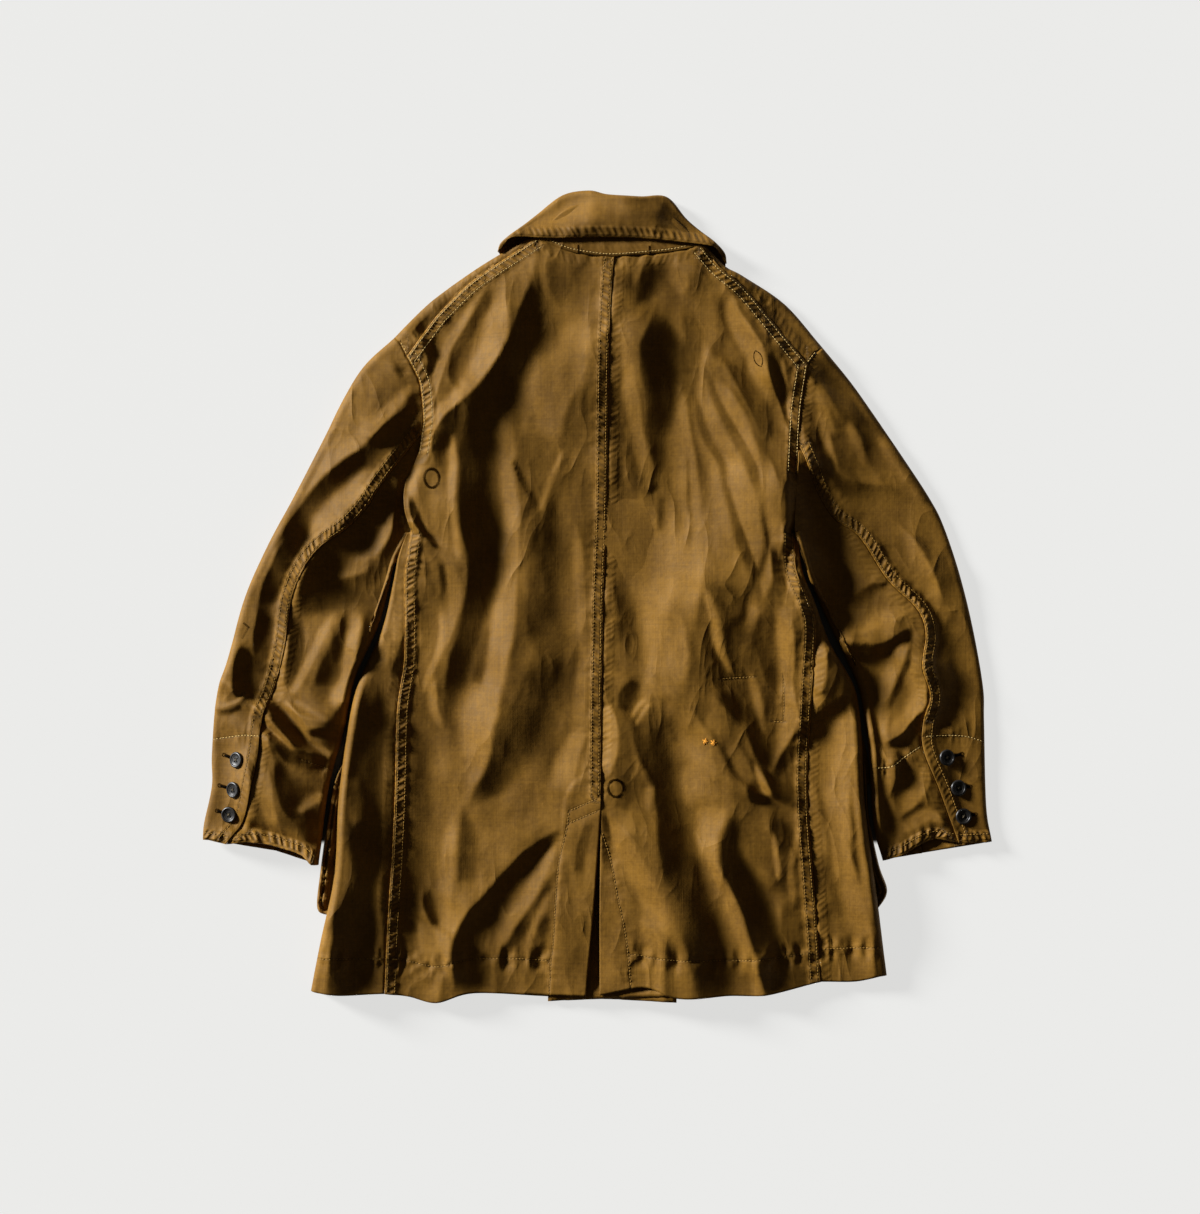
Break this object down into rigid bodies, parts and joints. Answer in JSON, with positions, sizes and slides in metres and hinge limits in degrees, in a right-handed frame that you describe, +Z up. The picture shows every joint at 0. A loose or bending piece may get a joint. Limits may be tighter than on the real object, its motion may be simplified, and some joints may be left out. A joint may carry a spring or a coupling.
{
  "type": "pea coat",
  "caption": "Double-breasted short cotton coat laid flat on its front, back up, with turned-down collar, back vent, buttoned cuffs and patch pockets.",
  "frame": {"origin": "on the surface the coat lies on, below the centre of its outline", "axes": "+Z up from the surface, out of the coat's back; +Y towards the collar; +X towards the right sleeve as seen from above"},
  "size_m": [0.75, 0.7709, 0.0274],
  "materials": {
    "cloth": "brown-olive cotton sateen with a soft sheen",
    "button": "dark brown, polished"
  },
  "bodies": {
    "root": {"back_left": "cloth", "back_right": "cloth", "front_left": "cloth", "front_right": "cloth", "upper_sleeve_left": "cloth", "upper_sleeve_right": "cloth", "under_sleeve_left": "cloth", "under_sleeve_right": "cloth", "collar_leaf": "cloth", "collar_stand": "cloth", "lapel_left": "cloth", "lapel_right": "cloth", "pocket_left": "cloth", "pocket_right": "cloth", "flap_left": "cloth", "flap_right": "cloth", "cuff_button_left_1": "button", "cuff_button_left_2": "button", "cuff_button_left_3": "button", "cuff_button_right_1": "button", "cuff_button_right_2": "button", "cuff_button_right_3": "button", "front_button_1": "button", "front_button_2": "button", "front_button_3": "button", "front_button_4": "button", "front_button_5": "button", "front_button_6": "button"}
  },
  "joints": []
}
